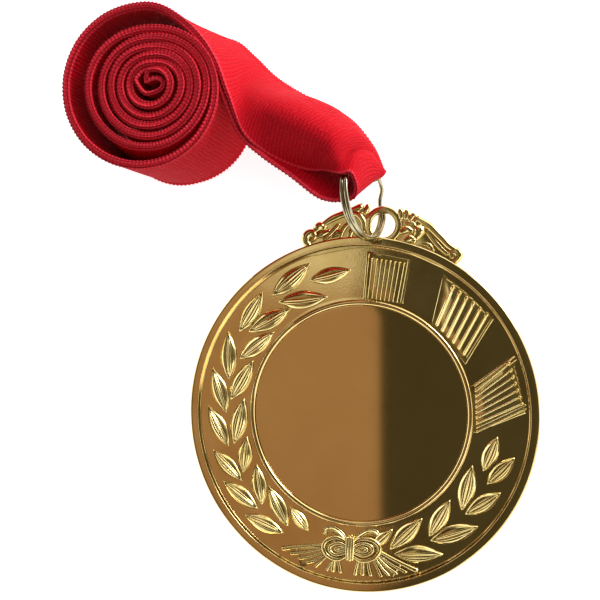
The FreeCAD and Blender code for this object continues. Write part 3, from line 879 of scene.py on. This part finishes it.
UPPER_LEG = [
    [(-6.3, 41.6, 15.3), (-6.3, 44.2, 14.9), (-5.7, 46.4, 12.2), (-4.0, 47.6, 7.6),
     (-2.2, 46.9, 2.9)],
    [(-9.4, 42.3, 13.6), (-8.4, 44.6, 16.9), (-7.0, 47.4, 16.2), (-5.2, 50.0, 9.2),
     (-3.9, 49.2, 2.3)],
    [(-12.6, 42.2, 12.6), (-11.3, 45.0, 15.8), (-9.8, 48.2, 18.4), (-7.8, 52.0, 10.0),
     (-6.7, 52.2, 1.6)],
    [(-16.2, 42.7, 13.4), (-15.4, 46.0, 16.4), (-13.9, 50.0, 19.0), (-11.1, 54.2, 9.8),
     (-9.6, 54.3, 1.2)],
    [(-20.6, 44.2, 15.6), (-19.6, 47.9, 17.4), (-18.1, 52.0, 18.4), (-15.4, 55.9, 8.8),
     (-13.4, 56.0, 0.8)],
    [(-24.2, 47.0, 18.3), (-23.3, 50.2, 18.0), (-22.1, 54.0, 16.2), (-20.3, 57.2, 7.2),
     (-19.2, 58.3, 0.5)],
    [(-27.5, 53.2, 19.1), (-27.0, 54.9, 15.2), (-26.4, 57.4, 11.2), (-25.6, 59.8, 5.8),
     (-24.7, 61.2, 0.3)],
    [(-30.9, 59.6, 19.6), (-30.6, 60.8, 14.9), (-30.3, 62.2, 10.0), (-29.9, 63.6, 5.0),
     (-29.4, 64.8, 0.2)],
    [(-35.6, 64.5, 19.8), (-35.3, 65.3, 14.9), (-35.0, 66.2, 10.0), (-34.6, 67.0, 5.0),
     (-34.2, 67.7, 0.1)],
]
LOWER_LEG = [
    [(-35.9, 63.8, 19.6), (-35.6, 64.6, 14.8), (-35.3, 65.4, 9.9), (-35.0, 66.2, 5.0),
     (-34.6, 66.9, 0.1)],
    [(-31.6, 59.1, 19.2), (-31.3, 60.2, 14.6), (-31.0, 61.6, 9.8), (-30.6, 62.9, 4.9),
     (-30.2, 64.0, 0.2)],
    [(-28.6, 52.8, 18.3), (-28.1, 54.4, 14.2), (-27.5, 56.5, 9.7), (-26.8, 58.6, 5.0),
     (-26.0, 60.2, 0.3)],
    [(-25.0, 46.6, 17.4), (-24.3, 49.2, 13.6), (-23.3, 51.8, 9.6), (-22.2, 54.4, 5.1),
     (-21.2, 56.7, 0.4)],
    [(-20.6, 43.3, 16.5), (-19.8, 46.0, 13.0), (-18.6, 48.8, 9.3), (-17.2, 51.3, 5.0),
     (-15.8, 53.3, 0.5)],
    [(-15.4, 40.5, 15.0), (-14.7, 43.0, 12.2), (-13.7, 45.5, 8.9), (-12.4, 47.6, 5.1),
     (-11.0, 49.3, 0.9)],
    [(-10.6, 37.6, 14.1), (-10.2, 40.1, 11.7), (-9.6, 42.3, 8.8), (-8.6, 44.3, 5.4),
     (-7.4, 45.8, 1.9)],
    [(-8.0, 37.0, 13.8), (-7.6, 39.2, 11.4), (-7.0, 41.2, 8.8), (-6.3, 42.9, 5.8),
     (-5.4, 44.1, 2.7)],
]


def ring_stations():
    """The turn of the ribbon through the ring: in along a chord and back over the wire."""
    # share of the way from the chord to the wire's far side, and where along the axis
    steps = [(0.0, -1.7), (-0.03, 0.0), (0.06, 1.25), (0.34, 1.95), (0.70, 2.0), (1.0, 1.5)]
    stations = []
    for share, axial in steps:
        row = []
        for v in ACROSS:
            chord = np.array([-0.75, 6.1]) * (1 - v) + np.array([4.1, -4.6]) * v
            turn = math.radians(66 - 116 * v)
            arc = (RING_RADIUS + 0.75) * np.array([math.cos(turn), math.sin(turn)])
            flat = chord * (1 - share) + arc * share
            row.append(tuple(at_ring(flat[0], flat[1], axial)))
        stations.append(row)
    return stations


# the ribbon's section from edge to edge: a cord along each selvedge and cloth between them
SELVEDGE = np.array([0.0, 0.007, 0.022, 0.040, 0.052])
CORD_HALF = np.array([0.0, 0.29, 0.40, 0.30, 0.25])
CLOTH = np.array([0.15, 0.27, 0.38, 0.5, 0.62, 0.73, 0.85])
CLOTH_HALF = 0.26
COLUMNS = np.r_[SELVEDGE, CLOTH, 1 - SELVEDGE[::-1]]
HALVES = np.r_[CORD_HALF, np.full(len(CLOTH), CLOTH_HALF), CORD_HALF[::-1]]
# rows of the mesh in each rib of the weave
ROWS_PER_RIB = 3


def ribbon_lines():
    """Evenly spaced stations round the whole strap, and its length."""
    stations = np.array(UPPER_LEG + roll_stations(1) + teardrop()
                        + roll_stations(-1)[:-3][::-1] + LOWER_LEG + ring_stations())
    count = len(stations)
    fine = np.linspace(0, count, count * 24 + 1)
    middle = catmull(stations[:, 2], fine, closed=True)
    steps = np.linalg.norm(np.diff(middle, axis=0), axis=1)
    travelled = np.r_[0, np.cumsum(steps)]
    total = travelled[-1]
    rows = round(total / RIB_PITCH) * ROWS_PER_RIB
    params = np.interp(np.arange(rows) * total / rows, travelled, fine)
    return catmull(stations, params, closed=True), total


def ribbon_surface(lines):
    """The strap's closed section at every row: front from edge to edge, then the back."""
    rows = len(lines)
    grid = np.swapaxes(catmull(np.swapaxes(lines, 0, 1), COLUMNS * 4), 0, 1)
    along = np.roll(grid, -1, axis=0) - np.roll(grid, 1, axis=0)
    normal = unit(np.cross(along, np.gradient(grid, axis=1)))
    # the picks of the weave swell the cords and, a little, the cloth
    bead = np.cos(TAU * np.arange(rows) / ROWS_PER_RIB)[:, None]
    near_edge = np.clip(1.3 - np.minimum(COLUMNS, 1 - COLUMNS) / 0.04, 0, 1)
    outward = unit(grid[:, -1] - grid[:, 0])
    sign = np.where(COLUMNS < 0.5, -1.0, 1.0)
    grid = grid + outward[:, None, :] * (0.09 * bead * near_edge * sign)[:, :, None]
    half = HALVES * (1 + 0.26 * bead * near_edge)
    half = half + 0.018 * bead * (1 - near_edge) * (HALVES > 0)
    front = grid + normal * half[:, :, None]
    back = grid[:, 1:-1] - normal[:, 1:-1] * half[:, 1:-1, None]
    return np.concatenate([front, back[:, ::-1]], axis=1)


def ribbon_uv(rows, total):
    """A UV corner list in millimetres: along the strap, then across its front and back."""
    width = np.r_[COLUMNS, COLUMNS[1:-1][::-1]] * WIDTH
    width[len(COLUMNS):] += BACK_SHIFT
    around = len(width)
    u0 = np.repeat(np.arange(rows) * total / rows, around)
    u1 = u0 + total / rows
    v0 = np.tile(width, rows)
    v1 = np.tile(np.roll(width, -1), rows)
    return np.stack([np.c_[u0, v0], np.c_[u0, v1], np.c_[u1, v1], np.c_[u1, v0]], axis=1)


def ribbon_strip():
    """The whole neck ribbon, as one closed strap, and its length."""
    lines, total = ribbon_lines()
    loop = ribbon_surface(lines)
    rows, around = loop.shape[:2]
    here = np.arange(rows * around).reshape(rows, around)
    ahead = np.roll(here, -1, axis=0)
    faces = np.stack([here, np.roll(here, -1, axis=1), np.roll(ahead, -1, axis=1), ahead],
                     axis=2).reshape(-1, 4)
    shell = Shell()
    shell.add(loop.reshape(-1, 3), faces)
    obj = shell.piece("neck_ribbon", red, None, "red_ribbon", sharp=0)
    layer = obj.data.uv_layers.new(name="UVMap")
    layer.data.foreach_set("uv", ribbon_uv(rows, total).reshape(-1).astype(np.float32))
    return obj, total


ribbon, ribbon_length = ribbon_strip()
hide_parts("ribbon_roll", "ribbon_upper_leg", "ribbon_lower_leg", "ribbon_ring_fold")
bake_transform(ribbon)

# -------- the CAD nodes that stay

for name, material in (("split_ring", wire), ("disc_adhesive", film)):
    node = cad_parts[name]
    node.data.materials.clear()
    node.data.materials.append(material)
    for polygon in node.data.polygons:
        polygon.use_smooth = True

# -------- camera and light

scene = bpy.context.scene
scene.view_settings.view_transform = "Standard"
EYE = Vector((0.0303, 0.0174, 0.1809))
TARGET = Vector((-0.0144, 0.01925, 0.0))
# how far the camera and the light tent are turned about the view, in radians
ROLL = -0.132
SENSOR, LENS = 36.0, 58.719


def place_camera():
    """The camera above the medal, looking down and slightly turned."""
    data = bpy.data.cameras.new("camera")
    data.sensor_width = SENSOR
    data.lens = LENS
    data.clip_start = 0.01
    camera = bpy.data.objects.new("camera", data)
    scene.collection.objects.link(camera)
    look = (TARGET - EYE).normalized()
    right = look.cross(Vector((math.sin(ROLL), math.cos(ROLL), 0))).normalized()
    rotation = camera.matrix_world.to_3x3()
    rotation.col[0], rotation.col[1], rotation.col[2] = right, right.cross(look), -look
    camera.matrix_world = rotation.to_4x4()
    camera.location = EYE
    scene.camera = camera


def stage_object(name, verts, faces, material):
    """A part of the set, which doesn't belong to the medal."""
    mesh = bpy.data.meshes.new(name)
    mesh.from_pydata(verts, [], faces)
    mesh.materials.append(material)
    obj = bpy.data.objects.new(name, mesh)
    scene.collection.objects.link(obj)
    return obj


FLOOR_HALF, FLOOR_DROP = 3.0, 0.00005


def build_floor():
    """A pale table, lit evenly by a little light of its own."""
    n = Nodes("floor")
    n.settings({"Base Color": (0.92, 0.92, 0.92, 1), "Roughness": 0.9,
                "Specular IOR Level": 0.1, "Emission Color": (1, 1, 1, 1),
                "Emission Strength": 0.8})
    verts = [(x * FLOOR_HALF, y * FLOOR_HALF, 0)
             for x, y in ((-1, -1), (1, -1), (1, 1), (-1, 1))]
    floor = stage_object("floor", verts, [(0, 1, 2, 3)], n.material)
    floor.location = (0, 0, -FLOOR_DROP)


# the tent is the set that the gold reflects; a lean is the tangent of the angle from +Z
TENT_RADIUS, TENT_STEPS, TENT_AROUND = 0.9, 24, 64
BROWN, OLIVE, PALE = (0.445, 0.274, 0.144), (0.080, 0.070, 0.036), (0.84, 0.78, 0.56)
# where brown meets olive, and how far that edge is set back above the medal's middle
TENT_EDGE, EDGE_SOFT, EDGE_SHIFT = -0.154, 0.006, 0.017
# the stops of the far ring, from the nearest lean to the table
FAR_STOPS = [
    (0.0, (0.11, 0.084, 0.036)), (0.06, (0.13, 0.105, 0.046)), (0.26, (0.20, 0.170, 0.080)),
    (0.5, (0.50, 0.46, 0.32)), (0.8, (1.5, 1.45, 1.2)), (1.0, (2.2, 2.15, 1.9)),
]
# bright and dark windows of the tent: bearing, from and to lean, half spread, colour
WINDOWS = [
    (-35, 0.8, 1.45, 30, (3.0, 2.9, 2.5)),
    (58, 1.7, 9.0, 34, (2.6, 2.5, 2.2)),
    (95, 1.1, 1.7, 20, (1.4, 1.3, 1.0)),
    (150, 0.6, 2.6, 34, (0.07, 0.042, 0.02)),
    (235, 1.2, 1.8, 16, (1.6, 1.5, 1.2)),
]


def light_tent():
    """The tent's inside, by direction: brown left, olive right, brighter near the table."""
    n = Nodes("light_tent")
    split = n.add("ShaderNodeSeparateXYZ")
    n.link(n.object_point(), split.inputs[0])
    x, y, z = split.outputs
    z = n.math("MAXIMUM", z, 0.01)
    lean_x, lean_y = n.math("DIVIDE", x, z), n.math("DIVIDE", y, z)

    def lean_toward(east, north):
        return n.times(lean_x, east, n.times(lean_y, north))

    side = lean_toward(math.cos(ROLL), -math.sin(ROLL))
    rise = lean_toward(math.sin(ROLL), math.cos(ROLL))
    side = n.times(n.step(rise, 0.04, 0.08), EDGE_SHIFT, side)
    lean = n.math("SQRT", n.math("ADD", n.times(lean_x, lean_x), n.times(lean_y, lean_y)))
    # overhead: the brown half with its pale corner, and the olive half
    brown = n.mix(n.step(rise, -0.32, -0.05), (0.41, 0.238, 0.122), BROWN)
    glow = n.times(n.step(rise, 0.055, 0.105), n.step(side, -0.36, -0.24))
    brown = n.mix(glow, brown, PALE)
    olive = n.ramp(n.step(side, TENT_EDGE, TENT_EDGE + 0.45),
                   [(0.0, (0.070, 0.058, 0.028)), (0.4, OLIVE), (1.0, (0.10, 0.085, 0.045))])
    centre = n.mix(n.step(side, TENT_EDGE - EDGE_SOFT, TENT_EDGE + EDGE_SOFT), brown, olive)
    # the ring round it, and the windows
    far = n.ramp(n.step(lean, 0.4, 4.0), FAR_STOPS)
    shade = n.mix(n.step(lean, 0.42, 0.62), centre, far)
    for bearing, near, end, spread, colour in WINDOWS:
        bearing, spread = math.radians(bearing), math.radians(spread)
        toward = n.math("DIVIDE", lean_toward(math.cos(bearing), math.sin(bearing)),
                        n.math("MAXIMUM", lean, 0.001))
        inside = n.times(n.step(lean, near, near + 0.08),
                         n.math("SUBTRACT", 1.0, n.step(lean, end, end + 0.12)))
        inside = n.times(inside, n.step(toward, math.cos(spread), math.cos(spread * 0.75)))
        shade = n.mix(inside, shade, colour)
    emission = n.add("ShaderNodeEmission")
    n.link(shade, emission.inputs["Color"])
    n.link(emission.outputs[0], n.tree.nodes["Material Output"].inputs["Surface"])
    n.tree.nodes.remove(n.shader)
    return n.material


def tent_mesh():
    """A half sphere over the table."""
    verts = [(0, 0, TENT_RADIUS)]
    for k in range(1, TENT_STEPS + 1):
        tilt = 0.5 * math.pi * k / TENT_STEPS
        flat, height = TENT_RADIUS * math.sin(tilt), TENT_RADIUS * math.cos(tilt)
        for j in range(TENT_AROUND):
            turn = TAU * j / TENT_AROUND
            verts.append((flat * math.cos(turn), flat * math.sin(turn), height))
    faces = [(0, 1 + j, 1 + (j + 1) % TENT_AROUND) for j in range(TENT_AROUND)]
    for k in range(TENT_STEPS - 1):
        first = 1 + k * TENT_AROUND
        faces += ring_quads(first + TENT_AROUND, first, TENT_AROUND)
    return verts, faces


def build_tent():
    """The tent, seen only in reflections."""
    tent = stage_object("light_tent", *tent_mesh(), light_tent())
    tent.visible_camera = False
    tent.visible_diffuse = False
    tent.visible_shadow = False
    tent.visible_transmission = False


# the sky is brightest in this direction, as the key light is
SKY_TOWARD = (0.60, 0.72, 0.34)
SKY_DIM, SKY_BRIGHT = (0.29, 0.29, 0.29, 1), (1, 1, 1, 1)


def build_world():
    """A soft studio sky, brighter on the key light's side."""
    world = bpy.data.worlds.new("studio")
    scene.world = world
    world.use_nodes = True
    tree = world.node_tree
    place = tree.nodes.new("ShaderNodeTexCoord")
    toward_key = tree.nodes.new("ShaderNodeVectorMath")
    toward_key.operation = "DOT_PRODUCT"
    toward_key.inputs[1].default_value = SKY_TOWARD
    tree.links.new(place.outputs["Generated"], toward_key.inputs[0])
    ramp = tree.nodes.new("ShaderNodeValToRGB")
    for element, position, colour in zip(ramp.color_ramp.elements, (0.1, 0.95),
                                         (SKY_DIM, SKY_BRIGHT)):
        element.position = position
        element.color = colour
    tree.links.new(toward_key.outputs["Value"], ramp.inputs[0])
    background = tree.nodes["Background"]
    tree.links.new(ramp.outputs[0], background.inputs["Color"])
    background.inputs["Strength"].default_value = 1.0


KEY_PLACE, KEY_AIM = Vector((0.36, 0.44, 0.15)), Vector((-0.02, 0.03, 0))
KEY_SIZE, KEY_POWER = 0.26, 2.2


def build_key():
    """One soft area light, low behind the medal's right side."""
    data = bpy.data.lights.new("key", "AREA")
    data.size = KEY_SIZE
    data.energy = KEY_POWER
    key = bpy.data.objects.new("key", data)
    scene.collection.objects.link(key)
    key.location = KEY_PLACE
    key.rotation_euler = (KEY_AIM - KEY_PLACE).to_track_quat("-Z", "Y").to_euler()


place_camera()
build_floor()
build_tent()
build_world()
build_key()
